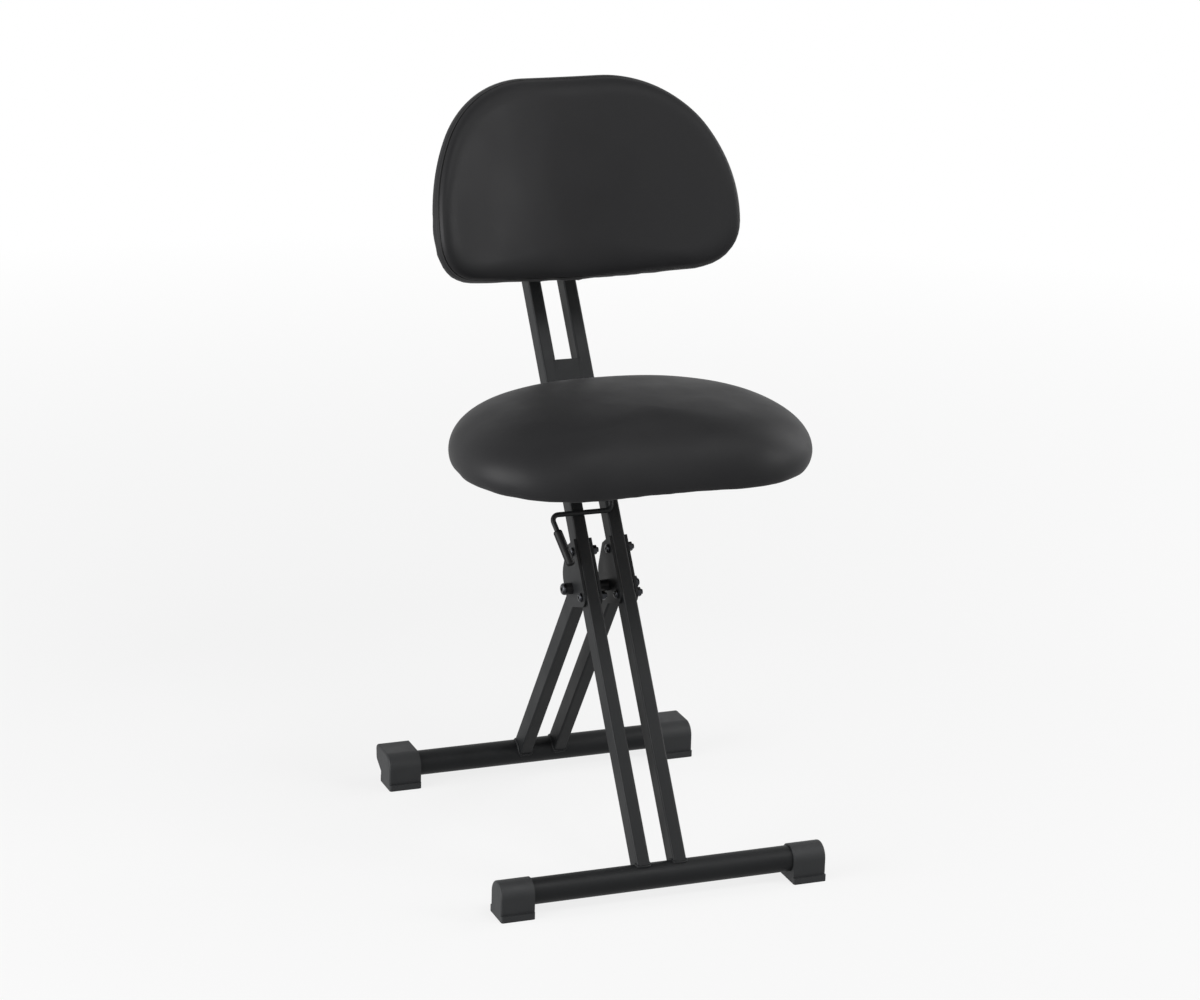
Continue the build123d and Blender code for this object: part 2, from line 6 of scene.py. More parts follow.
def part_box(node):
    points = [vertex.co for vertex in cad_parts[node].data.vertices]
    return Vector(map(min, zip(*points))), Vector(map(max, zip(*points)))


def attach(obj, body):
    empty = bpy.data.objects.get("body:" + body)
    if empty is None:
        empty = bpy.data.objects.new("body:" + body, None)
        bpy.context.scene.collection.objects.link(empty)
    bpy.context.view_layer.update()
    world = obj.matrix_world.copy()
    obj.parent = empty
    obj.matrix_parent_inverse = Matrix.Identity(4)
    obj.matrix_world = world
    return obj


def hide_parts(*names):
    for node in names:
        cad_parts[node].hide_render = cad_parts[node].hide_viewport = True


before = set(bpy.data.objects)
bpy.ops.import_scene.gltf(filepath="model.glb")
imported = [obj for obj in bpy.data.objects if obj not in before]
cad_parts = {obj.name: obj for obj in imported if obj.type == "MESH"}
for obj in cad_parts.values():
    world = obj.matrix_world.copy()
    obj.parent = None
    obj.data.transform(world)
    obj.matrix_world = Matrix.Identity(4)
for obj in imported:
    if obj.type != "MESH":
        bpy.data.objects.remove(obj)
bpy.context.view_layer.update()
bpy.ops.object.select_all(action="DESELECT")

# ---------------------------------------------------------------- Camera
# A long lens at chest height, in front of the throne and to the left of it.
# It is rolled a little, so that the spine stands as it does to the eye.
view_turn = math.radians(-21.392)
view_drop = math.radians(17.523)
view_roll = math.radians(1.564)
view_distance = 4.1514
view_target = Vector((-0.0116, -0.0330, 0.4123))
view_away = Vector((
    math.sin(view_turn) * math.cos(view_drop),
    -math.cos(view_turn) * math.cos(view_drop),
    math.sin(view_drop),
))
bpy.ops.object.camera_add(location=view_target + view_away * view_distance)
camera = bpy.context.object
camera.name = "camera"
view_matrix = Matrix.Rotation(view_turn, 3, "Z") @ Matrix.Rotation(math.pi / 2 - view_drop, 3, "X")
camera.rotation_euler = (view_matrix @ Matrix.Rotation(view_roll, 3, "Z")).to_euler()
camera.data.lens = 109.0
camera.data.sensor_width = 36.0
camera.data.clip_end = 100
bpy.context.scene.camera = camera


# ---------------------------------------------------------------- Powder-coated steel
# The tubes, floor bars and plates are mild steel under a black polyester powder coat, baked on.
# It gives a satin black skin with a fine orange peel, a little uneven in its gloss.
def linear(code):
    """An sRGB hex colour as linear red, green, blue and alpha."""
    shares = [int(code[start:start + 2], 16) / 255 for start in (1, 3, 5)]
    return [share / 12.92 if share <= 0.04045 else ((share + 0.055) / 1.055) ** 2.4 for share in shares] + [1.0]


def add_node(material, kind, settings, links=()):
    """Adds a shader node with its settings. Each link is (input, source node, output)."""
    node = material.node_tree.nodes.new(kind)
    for name, value in settings.items():
        if isinstance(name, int) or name in node.inputs:
            node.inputs[name].default_value = value
        else:
            setattr(node, name, value)
    for name, source, output in links:
        material.node_tree.links.new(source.outputs[output], node.inputs[name])
    return node


def new_material(name):
    """An empty material, and a node that gives places on the object."""
    material = bpy.data.materials.new(name)
    material.use_nodes = True
    material.node_tree.nodes.clear()
    return material, add_node(material, "ShaderNodeTexCoord", {})


powder_coat, place = new_material("polyester powder coat on steel")
cloud = add_node(powder_coat, "ShaderNodeTexNoise", {"Scale": 1 / 0.04, "Detail": 3.0}, [("Vector", place, "Object")])
tint = add_node(powder_coat, "ShaderNodeMix", {"data_type": "RGBA", 6: linear("#0e0f10"), 7: linear("#141516")},
                [(0, cloud, "Fac")])
gloss = add_node(powder_coat, "ShaderNodeMapRange",
                 {"From Min": 0.3, "From Max": 0.7, "To Min": 0.44, "To Max": 0.54},
                 [("Value", cloud, "Fac")])
# Orange peel is about 2 mm from swell to swell.
swells = add_node(powder_coat, "ShaderNodeTexNoise", {"Scale": 1 / 0.0022, "Detail": 2.0},
                  [("Vector", place, "Object")])
orange_peel = add_node(powder_coat, "ShaderNodeBump", {"Strength": 0.12, "Distance": 0.0003},
                       [("Height", swells, "Fac")])
surface = add_node(powder_coat, "ShaderNodeBsdfPrincipled", {"IOR": 1.5, "Specular IOR Level": 0.13},
                   [("Base Color", tint, 2), ("Roughness", gloss, "Result"), ("Normal", orange_peel, "Normal")])
add_node(powder_coat, "ShaderNodeOutputMaterial", {}, [("Surface", surface, "BSDF")])


def finish_nodes(material, names):
    """Gives CAD nodes a material."""
    for name in names:
        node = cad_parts[name]
        node.data.materials.clear()
        node.data.materials.append(material)


finish_nodes(powder_coat, [
    "front_crossbar", "rear_crossbar", "spine_tube_left", "spine_tube_right", "spine_cross_plate",
    "rear_leg_left", "rear_leg_right", "bracket_plate_left_outer", "bracket_plate_left_inner",
    "bracket_plate_right_inner", "bracket_plate_right_outer", "backrest_cheek_left", "backrest_cheek_right",
    "backrest_plate", "seat_arm_left", "seat_arm_right", "seat_plate", "slider_front_plate", "slider_rear_plate"])
finish_nodes(powder_coat, ["lever_rod"])

# ---------------------------------------------------------------- Weld beads
# Each leg is coped over its floor bar and welded all round by hand, before the powder coat.
# A bead is a low uneven ridge that follows the cope, at a tube's four sides.
tube_width = 0.016
tube_depth = 0.024
tube_offset = 0.022
bar_radius = 0.015
spine_lean = math.radians(34.4)
bead_radius = 0.0019
bead_squareness = 0.3
ripple_spacing = 0.0035
ripple_height = 0.0014


def box_middle(name):
    """The middle of a CAD node's box."""
    low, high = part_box(name)
    return (Vector(low) + Vector(high)) / 2


front_bar = box_middle("front_crossbar")
rear_bar = box_middle("rear_crossbar")
pivot_centre = box_middle("leg_bush_left")
leg_lean = math.atan2(rear_bar.y - pivot_centre.y, pivot_centre.z - rear_bar.z)
welds = [
    ("spine_weld_left", -tube_offset, front_bar, -spine_lean, "frame"),
    ("spine_weld_right", tube_offset, front_bar, -spine_lean, "frame"),
    ("leg_weld_left", -tube_offset, rear_bar, leg_lean, "rear_legs"),
    ("leg_weld_right", tube_offset, rear_bar, leg_lean, "rear_legs"),
]
for name, side, bar, lean, body in welds:
    bpy.ops.mesh.primitive_circle_add(vertices=96, radius=1)
    bead = bpy.context.object
    bead.name = name
    turn = Matrix.Rotation(lean, 3, "X")
    for vertex in bead.data.vertices:
        across = math.copysign(abs(vertex.co.x) ** bead_squareness, vertex.co.x) * tube_width / 2
        along = math.copysign(abs(vertex.co.y) ** bead_squareness, vertex.co.y) * tube_depth / 2
        rise = math.sqrt(bar_radius ** 2 - min(abs(along), tube_depth / 2) ** 2)
        vertex.co = turn @ Vector((across, along, rise)) + Vector((side, bar.y, bar.z))
    bpy.ops.object.convert(target="CURVE")
    bead.data.bevel_depth = bead_radius
    bead.data.bevel_resolution = 2
    bpy.ops.object.convert(target="MESH")
    ripple = bpy.data.textures.new(name, "CLOUDS")
    ripple.noise_scale = ripple_spacing
    swell = bead.modifiers.new("Displace", "DISPLACE")
    swell.texture = ripple
    swell.strength = ripple_height
    bpy.ops.object.modifier_apply(modifier="Displace")
    bpy.ops.object.shade_smooth()
    bead.data.materials.append(powder_coat)
    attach(bead, body)
    bead.select_set(False)

# ---------------------------------------------------------------- Ground welds
# The cross plate is let in flush between the spine tubes. Its two welds fill the tubes' round corners.
# They are ground flat before the powder coat, so that plate and tubes read as one face.
weld_low = 0.5752
weld_length = 0.0395
weld_across = 0.0152
weld_width = 0.0046
weld_depth = 0.0022
weld_edge = 0.0003
weld_proud = 0.0001
spine_turn = Matrix.Rotation(-spine_lean, 3, "X")
for name, side in (("plate_weld_left", -1), ("plate_weld_right", 1)):
    bpy.ops.mesh.primitive_cube_add(size=1)
    strip = bpy.context.object
    strip.name = name
    bpy.ops.object.mode_set(mode="EDIT")
    bpy.ops.transform.resize(value=(weld_width, weld_depth, weld_length))
    bpy.ops.mesh.bevel(offset=weld_edge, segments=3, affect="EDGES")
    bpy.ops.object.mode_set(mode="OBJECT")
    middle = Vector((
        side * weld_across,
        -tube_depth / 2 + weld_depth / 2 - weld_proud,
        weld_low + weld_length / 2,
    ))
    for vertex in strip.data.vertices:
        vertex.co = spine_turn @ (vertex.co + middle) + Vector((0, front_bar.y, front_bar.z))
    bpy.ops.object.shade_smooth_by_angle(angle=math.radians(40))
    strip.data.materials.append(powder_coat)
    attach(strip, "frame")
    strip.select_set(False)

# ---------------------------------------------------------------- Foot caps
# Injection-moulded black rubber, pushed over the ends of the floor bars.
# The mould's spark-eroded skin leaves it dull, with a fine even grain.
cap_rubber, place = new_material("moulded rubber")
cloud = add_node(cap_rubber, "ShaderNodeTexNoise", {"Scale": 1 / 0.02, "Detail": 3.0}, [("Vector", place, "Object")])
tint = add_node(cap_rubber, "ShaderNodeMix", {"data_type": "RGBA", 6: linear("#1b1c1d"), 7: linear("#232425")},
                [(0, cloud, "Fac")])
gloss = add_node(cap_rubber, "ShaderNodeMapRange", {"From Min": 0.3, "From Max": 0.7, "To Min": 0.5, "To Max": 0.62},
                 [("Value", cloud, "Fac")])
# The eroded skin has pits of about 0.3 mm. They are drawn at 1.2 mm, so that they show.
pits = add_node(cap_rubber, "ShaderNodeTexNoise", {"Scale": 1 / 0.0012, "Detail": 4.0}, [("Vector", place, "Object")])
mould_skin = add_node(cap_rubber, "ShaderNodeBump", {"Strength": 0.25, "Distance": 0.0002}, [("Height", pits, "Fac")])
surface = add_node(cap_rubber, "ShaderNodeBsdfPrincipled", {"IOR": 1.52, "Specular IOR Level": 0.2},
                   [("Base Color", tint, 2), ("Roughness", gloss, "Result"), ("Normal", mould_skin, "Normal")])
add_node(cap_rubber, "ShaderNodeOutputMaterial", {}, [("Surface", surface, "BSDF")])
finish_nodes(cap_rubber, [
    "front_foot_cap_left", "front_foot_cap_right", "rear_foot_cap_left", "rear_foot_cap_right"])

# ---------------------------------------------------------------- Small plastic pieces
# Moulded black nylon: tube plugs, pivot spacers, bushes and the slider block.
# It has a soft sheen and faint flow marks.
black_nylon, place = new_material("moulded nylon")
cloud = add_node(black_nylon, "ShaderNodeTexNoise", {"Scale": 1 / 0.015, "Detail": 3.0},
                 [("Vector", place, "Object")])
tint = add_node(black_nylon, "ShaderNodeMix", {"data_type": "RGBA", 6: linear("#131314"), 7: linear("#1a1a1b")},
                [(0, cloud, "Fac")])
gloss = add_node(black_nylon, "ShaderNodeMapRange",
                 {"From Min": 0.3, "From Max": 0.7, "To Min": 0.32, "To Max": 0.42},
                 [("Value", cloud, "Fac")])
# Flow marks spread about 4 mm apart from the gate.
flow_lines = add_node(black_nylon, "ShaderNodeTexNoise", {"Scale": 1 / 0.004, "Detail": 2.0, "Distortion": 0.6},
                      [("Vector", place, "Object")])
flow_marks = add_node(black_nylon, "ShaderNodeBump", {"Strength": 0.08, "Distance": 0.0003},
                      [("Height", flow_lines, "Fac")])
surface = add_node(black_nylon, "ShaderNodeBsdfPrincipled", {"IOR": 1.53, "Specular IOR Level": 0.2},
                   [("Base Color", tint, 2), ("Roughness", gloss, "Result"), ("Normal", flow_marks, "Normal")])
add_node(black_nylon, "ShaderNodeOutputMaterial", {}, [("Surface", surface, "BSDF")])
finish_nodes(black_nylon, [
    "spine_plug_left", "spine_plug_right", "pivot_sleeve", "pivot_spacer_left", "pivot_spacer_right",
    "leg_bush_left", "leg_bush_right", "slider_block"])

# ---------------------------------------------------------------- Lever grip
# A sleeve of soft black PVC, dipped and pushed on the lever's end.
# Its skin is dull and takes little light.
grip_sleeve, place = new_material("dipped soft PVC")
cloud = add_node(grip_sleeve, "ShaderNodeTexNoise", {"Scale": 1 / 0.01, "Detail": 3.0}, [("Vector", place, "Object")])
tint = add_node(grip_sleeve, "ShaderNodeMix", {"data_type": "RGBA", 6: linear("#070708"), 7: linear("#0d0d0e")},
                [(0, cloud, "Fac")])
gloss = add_node(grip_sleeve, "ShaderNodeMapRange",
                 {"From Min": 0.3, "From Max": 0.7, "To Min": 0.42, "To Max": 0.55},
                 [("Value", cloud, "Fac")])
# The dip leaves slow runs, about 6 mm apart.
runs = add_node(grip_sleeve, "ShaderNodeTexNoise", {"Scale": 1 / 0.006, "Detail": 1.0}, [("Vector", place, "Object")])
dipped = add_node(grip_sleeve, "ShaderNodeBump", {"Strength": 0.2, "Distance": 0.0004}, [("Height", runs, "Fac")])
surface = add_node(grip_sleeve, "ShaderNodeBsdfPrincipled", {"IOR": 1.53, "Specular IOR Level": 0.12},
                   [("Base Color", tint, 2), ("Roughness", gloss, "Result"), ("Normal", dipped, "Normal")])
add_node(grip_sleeve, "ShaderNodeOutputMaterial", {}, [("Surface", surface, "BSDF")])
finish_nodes(grip_sleeve, ["lever_grip"])

# ---------------------------------------------------------------- Screws, nuts, washers and cams
# Steel with a black zinc plate: dark, metallic and a little cloudy.
# Light strikes the domed heads in bright spots.
black_zinc, place = new_material("black zinc plated steel")
cloud = add_node(black_zinc, "ShaderNodeTexNoise", {"Scale": 1 / 0.005, "Detail": 3.0}, [("Vector", place, "Object")])
tint = add_node(black_zinc, "ShaderNodeMix", {"data_type": "RGBA", 6: linear("#1f2022"), 7: linear("#3a3b3e")},
                [(0, cloud, "Fac")])
gloss = add_node(black_zinc, "ShaderNodeMapRange", {"From Min": 0.3, "From Max": 0.7, "To Min": 0.26, "To Max": 0.4},
                 [("Value", cloud, "Fac")])
# Plated crystals are far too fine to show, and are drawn at 0.8 mm.
crystals = add_node(black_zinc, "ShaderNodeTexNoise", {"Scale": 1 / 0.0008, "Detail": 2.0},
                    [("Vector", place, "Object")])
plating = add_node(black_zinc, "ShaderNodeBump", {"Strength": 0.1, "Distance": 0.0001}, [("Height", crystals, "Fac")])
surface = add_node(black_zinc, "ShaderNodeBsdfPrincipled", {"Metallic": 1.0},
                   [("Base Color", tint, 2), ("Roughness", gloss, "Result"), ("Normal", plating, "Normal")])
add_node(black_zinc, "ShaderNodeOutputMaterial", {}, [("Surface", surface, "BSDF")])
finish_nodes(black_zinc, [
    "bracket_screws", "bracket_washers", "bracket_nuts", "pivot_screw", "pivot_nut", "slider_screws",
    "slider_nuts", "lock_eye_bolt", "lock_nut", "seat_screws", "seat_tee_nuts", "backrest_screws",
    "backrest_bolts", "backrest_nuts", "lock_cam_left", "lock_cam_right"])

# ---------------------------------------------------------------- Plywood
# Birch plywood, sanded and left bare where it isn't seen: the seat board, the backrest's shell and its packer.
# Its veneers run across the board, so its faces show long pale grain.
plywood, place = new_material("birch plywood")
# Grain lines are about 1 mm apart and 80 mm long, along X.
stretch = add_node(plywood, "ShaderNodeMapping", {"Scale": (12.0, 220.0, 220.0)}, [("Vector", place, "Object")])
veneer = add_node(plywood, "ShaderNodeTexNoise", {"Scale": 1.0, "Detail": 5.0, "Distortion": 0.8},
                  [("Vector", stretch, "Vector")])
grain = add_node(plywood, "ShaderNodeValToRGB", {}, [("Fac", veneer, "Fac")])
for element, code, position in zip(grain.color_ramp.elements, ("#a8845a", "#cdae82"), (0.3, 0.7)):
    element.color = linear(code)
    element.position = position
pores = add_node(plywood, "ShaderNodeBump", {"Strength": 0.15, "Distance": 0.0002}, [("Height", veneer, "Fac")])
surface = add_node(plywood, "ShaderNodeBsdfPrincipled", {"Roughness": 0.62, "IOR": 1.5},
                   [("Base Color", grain, "Color"), ("Normal", pores, "Normal")])
add_node(plywood, "ShaderNodeOutputMaterial", {}, [("Surface", surface, "BSDF")])
finish_nodes(plywood, ["seat_board", "backrest_shell", "backrest_packer"])

# ---------------------------------------------------------------- Seat cushion
# Moulded foam under one piece of black leatherette, pulled down over the board and stapled under it.
# It is a broad low dome with a deep rolled edge, full at the back. Its front edge is drawn in a little.
leatherette, place = new_material("PVC leatherette")
cloud = add_node(leatherette, "ShaderNodeTexNoise", {"Scale": 1 / 0.06, "Detail": 3.0}, [("Vector", place, "Object")])
hide = add_node(leatherette, "ShaderNodeMix", {"data_type": "RGBA", 6: linear("#171718"), 7: linear("#1d1d1e")},
                [(0, cloud, "Fac")])
# Along the seam the cover's colour is darkened to near black: painted shade for the seam's groove.
seam_painted_shade = add_node(leatherette, "ShaderNodeAttribute", {"attribute_name": "seam_painted_shade"})
tint = add_node(leatherette, "ShaderNodeMix", {"data_type": "RGBA", 7: linear("#050505")},
                [(0, seam_painted_shade, "Fac"), (6, hide, 2)])
gloss = add_node(leatherette, "ShaderNodeMapRange",
                 {"From Min": 0.3, "From Max": 0.7, "To Min": 0.46, "To Max": 0.56},
                 [("Value", cloud, "Fac")])
# The embossed grain is about 1 mm in the cloth and is drawn at 2 mm, so that it shows.
pebble = add_node(leatherette, "ShaderNodeTexVoronoi", {"Scale": 1 / 0.002, "feature": "SMOOTH_F1"},
                  [("Vector", place, "Object")])
crease = add_node(leatherette, "ShaderNodeTexNoise", {"Scale": 1 / 0.012, "Detail": 4.0},
                  [("Vector", place, "Object")])
relief = add_node(leatherette, "ShaderNodeMath", {"operation": "MULTIPLY_ADD", 1: 0.35},
                  [(0, pebble, "Distance"), (2, crease, "Fac")])
grain = add_node(leatherette, "ShaderNodeBump", {"Strength": 0.1, "Distance": 0.0006}, [("Height", relief, "Value")])
surface = add_node(leatherette, "ShaderNodeBsdfPrincipled", {"IOR": 1.5, "Specular IOR Level": 0.1},
                   [("Base Color", tint, 2), ("Roughness", gloss, "Result"), ("Normal", grain, "Normal")])
add_node(leatherette, "ShaderNodeOutputMaterial", {}, [("Surface", surface, "BSDF")])


def polar_ball(name, segments, rings):
    """A ball primitive whose vertices are handed back as (index, angle, ring counted from underneath)."""
    bpy.ops.mesh.primitive_uv_sphere_add(segments=segments, ring_count=rings, radius=1)
    ball = bpy.context.object
    ball.name = name
    spots = []
    for vertex in ball.data.vertices:
        height = max(-1.0, min(1.0, vertex.co.z))
        ring = round(rings * (0.5 + math.asin(height) / math.pi))
        spots.append((vertex.index, math.atan2(vertex.co.y, vertex.co.x), ring))
    return ball, spots


def nearest(points):
    """A search tree over a list of places."""
    tree = kdtree.KDTree(len(points))
    for index, point in enumerate(points):
        tree.insert(point, index)
    tree.balance()
    return tree


def swell_cover(pad, held, travel, pressure):
    """Blows up an even copy of the cover as cloth, then moves the cover's own vertices with it, by travel at most."""
    last_step = 20
    near_count = 48
    near_width = 0.016
    pinned = set(held)
    bpy.ops.object.select_all(action="DESELECT")
    pad.select_set(True)
    bpy.context.view_layer.objects.active = pad
    bpy.ops.object.duplicate()
    skin = bpy.context.object
    skin.data.remesh_voxel_size = 0.006
    bpy.ops.object.voxel_remesh()
    before = [vertex.co.copy() for vertex in skin.data.vertices]
    own = nearest([vertex.co for vertex in pad.data.vertices])
    group = skin.vertex_groups.new(name="held")
    group.add([index for index, point in enumerate(before) if own.find(point)[1] in pinned], 1.0, "REPLACE")
    cloth = skin.modifiers.new("Cloth", "CLOTH")
    cloth.settings.quality = 6
    cloth.settings.mass = 0.3
    cloth.settings.tension_stiffness = 12
    cloth.settings.compression_stiffness = 12
    cloth.settings.bending_stiffness = 2
    cloth.settings.use_pressure = True
    cloth.settings.uniform_pressure_force = pressure
    cloth.settings.effector_weights.gravity = 0
    cloth.settings.vertex_group_mass = "held"
    cloth.point_cache.frame_start = 1
    cloth.point_cache.frame_end = last_step
    for step in range(1, last_step + 1):
        bpy.context.scene.frame_set(step)
    bpy.ops.object.modifier_apply(modifier="Cloth")
    bpy.context.scene.frame_set(1)
    moves = [vertex.co - start for vertex, start in zip(skin.data.vertices, before)]
    share = min(1.0, travel / max(move.length for move in moves))
    even = nearest(before)
    for vertex in pad.data.vertices:
        if vertex.index not in pinned:
            near = even.find_n(vertex.co, near_count)
            weights = [math.exp(-(away / near_width) ** 2) + 1e-6 for _, _, away in near]
            total = sum((moves[spot[1]] * weight for spot, weight in zip(near, weights)), Vector())
            vertex.co += total * share / sum(weights)
    bpy.data.objects.remove(skin)
    pad.select_set(True)
    bpy.context.view_layer.objects.active = pad


seat_low, seat_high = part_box("seat_cushion")
seat_half = (seat_high[0] - seat_low[0]) / 2
seat_corner = 0.118
seat_fullness = 2.51
seat_straight = seat_half - seat_corner
seat_middle = seat_low[1] + seat_corner
seat_back = seat_high[1] - seat_middle
seat_dome = 1.36
dome_middle = seat_middle + 0.0064
seat_top = seat_high[2] - seat_low[2]
seat_widest = 0.015
seat_under = 0.008
seat_roll = 0.090
roll_fullness = 2.63
seat_drawn_in = 0.0045
drawn_in_width = 0.075
hem_width = 0.032
hem_thick = 0.0012
hem_hidden = 0.004
hem_ring = 6
under_ring = 10
wide_ring = 18
roll_ring = 46
soft_from_ring = 30
soft_over_rings = 10
seat_rings = 64
seat_segments = 160
ease_angle = 0.05
ease_steps = range(-3, 4)
seat_pucker = 0.0011
seat_pucker_turns = 11
seat_pucker_drop = 0.6


def seat_reach(angle):
    """Distance from the seat's middle to its outline: full behind, two round corners in front."""
    across = abs(math.cos(angle))
    along = abs(math.sin(angle))
    if angle >= 0:
        full = (across / seat_half) ** seat_fullness + (along / seat_back) ** seat_fullness
        return full ** (-1 / seat_fullness)
    if across * seat_corner < along * seat_straight:
        return seat_corner / along
    return seat_straight * across + math.sqrt(seat_corner ** 2 - (seat_straight * along) ** 2)


def eased_reach(angle):
    """The outline as the foam follows it, with the changes between its curves eased."""
    nearby = [math.remainder(angle + step * ease_angle, 2 * math.pi) for step in ease_steps]
    return sum(seat_reach(turn) for turn in nearby) / len(nearby)


def dome_height(x, y):
    """Height of the seat's dome over its underside."""
    away = math.hypot(x, y - dome_middle)
    return seat_top - seat_dome + math.sqrt(seat_dome ** 2 - away ** 2)


seat, spots = polar_ball("seat_cushion_cover", seat_segments, seat_rings)
seat_held = []
for index, angle, ring in spots:
    reach = eased_reach(angle)
    inset = seat_under + hem_width
    share = 1.0
    if ring < hem_ring:
        share = ring / hem_ring
    elif under_ring >= ring > hem_ring:
        inset = seat_under + hem_width * (under_ring - ring) / (under_ring - hem_ring - 1)
    elif wide_ring >= ring > under_ring:
        inset = seat_under * (1 - math.sin(math.pi / 2 * (ring - under_ring) / (wide_ring - under_ring)))
    elif roll_ring >= ring > wide_ring:
        bend = math.pi / 2 * (ring - wide_ring) / (roll_ring - wide_ring)
        inset = seat_roll * (1 - math.cos(bend) ** (2 / roll_fullness))
    elif ring > roll_ring:
        share = 1 - (ring - roll_ring) / (seat_rings - roll_ring)
        inset = seat_roll
    far = (reach - inset) * share
    x = far * math.cos(angle)
    y = seat_middle + far * math.sin(angle)
    edge = dome_height(reach * math.cos(angle), seat_middle + reach * math.sin(angle))
    if ring <= hem_ring:
        # Inside the hem the board shows, so the cover's closing face is hidden in the board.
        z = hem_hidden
    elif ring < under_ring:
        z = -hem_thick
    elif ring <= wide_ring:
        z = seat_widest * (1 - math.cos(math.pi / 2 * (ring - under_ring) / (wide_ring - under_ring)))
    elif ring <= roll_ring:
        z = dome_height(x, y) - (edge - seat_widest) * (1 - math.sin(bend))
    else:
        z = dome_height(x, y)
    if ring <= under_ring:
        seat_held.append(index)
    if y < seat_middle:
        near_front = ((seat_middle - y) / seat_corner) ** 2
        y += seat_drawn_in * near_front * math.exp(-(x / drawn_in_width) ** 2)
    seat.data.vertices[index].co = (x, y, seat_low[2] + z)
swell_cover(seat, seat_held, 0.002, 4.0)
# The foam eases the change from roll to dome.
soft = seat.vertex_groups.new(name="soft")
for index, angle, ring in spots:
    soft.add([index], max(0.0, min(1.0, (ring - soft_from_ring) / soft_over_rings)), "REPLACE")
ease = seat.modifiers.new("Smooth", "SMOOTH")
ease.factor = 0.5
ease.iterations = 12
ease.vertex_group = "soft"
bpy.ops.object.modifier_apply(modifier="Smooth")
seat.vertex_groups.clear()
# Stapling gathers the cover into small puckers, from the hem to just above the seat's lower edge.
for index, angle, ring in spots:
    if hem_ring < ring < wide_ring:
        fade = math.sin(math.pi * (ring - hem_ring) / (wide_ring - hem_ring))
        round_seat = Vector((math.cos(angle) * seat_pucker_turns, math.sin(angle) * seat_pucker_turns, 0.3))
        outward = Vector((math.cos(angle), math.sin(angle), -seat_pucker_drop))
        seat.data.vertices[index].co += outward * (seat_pucker * fade * noise.noise(round_seat))
smooth = seat.modifiers.new("Subdivision", "SUBSURF")
smooth.levels = 1
smooth.render_levels = 1
bpy.ops.object.modifier_apply(modifier="Subdivision")
bpy.ops.object.shade_smooth()
seat.data.materials.append(leatherette)
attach(seat, "seat_carriage")
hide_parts("seat_cushion")
seat.select_set(False)

# ---------------------------------------------------------------- Seat staples
# The cover's hem is held to the board by flat-crown steel staples, shot in by hand about 30 mm apart.
# Each is a galvanised wire, 12 mm wide, that lies along the hem.
staple_wire, place = new_material("galvanised staple wire")
drawn = add_node(staple_wire, "ShaderNodeTexNoise", {"Scale": 1 / 0.0015, "Detail": 2.0},
                 [("Vector", place, "Object")])
tint = add_node(staple_wire, "ShaderNodeMix", {"data_type": "RGBA", 6: linear("#9fa1a4"), 7: linear("#c4c5c8")},
                [(0, drawn, "Fac")])
gloss = add_node(staple_wire, "ShaderNodeMapRange", {"To Min": 0.3, "To Max": 0.45}, [("Value", drawn, "Fac")])
surface = add_node(staple_wire, "ShaderNodeBsdfPrincipled", {"Metallic": 1.0},
                   [("Base Color", tint, 2), ("Roughness", gloss, "Result")])
add_node(staple_wire, "ShaderNodeOutputMaterial", {}, [("Surface", surface, "BSDF")])
staple_count = 38
staple_inset = 0.026
staple_size = (0.012, 0.0012, 0.0014)
staple_edge = 0.0003
staple_drop = 0.0004
hand_error = 0.12
half_step = 0.01
bpy.ops.mesh.primitive_cube_add(size=1)
first_staple = bpy.context.object
bpy.ops.object.mode_set(mode="EDIT")
bpy.ops.transform.resize(value=staple_size)
bpy.ops.mesh.bevel(offset=staple_edge, segments=2, affect="EDGES")
bpy.ops.object.mode_set(mode="OBJECT")
staples = [first_staple]
for count in range(1, staple_count):
    bpy.ops.object.select_all(action="DESELECT")
    first_staple.select_set(True)
    bpy.context.view_layer.objects.active = first_staple
    bpy.ops.object.duplicate()
    staples.append(bpy.context.object)
for count, staple in enumerate(staples):
    angle = 2 * math.pi * (count + hand_error * math.sin(5 * count)) / staple_count - math.pi
    ends = []
    for step in (-half_step, half_step):
        far = seat_reach(angle + step) - staple_inset
        ends.append(Vector((far * math.cos(angle + step), seat_middle + far * math.sin(angle + step), seat_low[2])))
    run = ends[1] - ends[0]
    turn = Matrix.Rotation(math.atan2(run.y, run.x) + hand_error * math.sin(7 * count), 3, "Z")
    for vertex in staple.data.vertices:
        vertex.co = turn @ vertex.co + (ends[0] + ends[1]) / 2 - Vector((0, 0, hem_thick + staple_drop))
for staple in staples:
    staple.select_set(True)
bpy.context.view_layer.objects.active = first_staple
bpy.ops.object.join()
first_staple.name = "seat_staples"
first_staple.data.materials.append(staple_wire)
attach(first_staple, "seat_carriage")
first_staple.select_set(False)

# ---------------------------------------------------------------- Backrest cushion
# Foam on the curved shell, covered by a front panel and a narrow boxing strip that are sewn together.
# The seam is a fine groove near the front, and the panel swells from it.
back_middle = Vector((0, front_bar.y + 0.3538, front_bar.z + 0.7292))
back_tilt = math.radians(16.25)
back_curve = 0.3312
back_top = 0.1137
back_half = 0.1856
back_widest = 0.0545
back_deep = 0.118
back_bow = 0.003
back_side_radius = 0.209
back_top_corner = 0.130
back_low_corner = back_deep - back_widest
low_corner_fullness = 2.65
shell_edge = 0.002
seam_depth = 0.0145
seam_inset = 0.0040
seam_groove = 0.0045
seam_slot = 0.0026
boxing_ease = 1.17
boxing_bulge = 0.0008
panel_depth = 0.0278
panel_roll = 0.0240
low_roll = 0.0220
back_pucker = 0.0016
back_pucker_turns = 14
merge_distance = 0.00005
rim_steps = 24
back_segments = 160
back_rings = 72
rear_ring = 10
boxing_ring = 14
seam_ring = 24
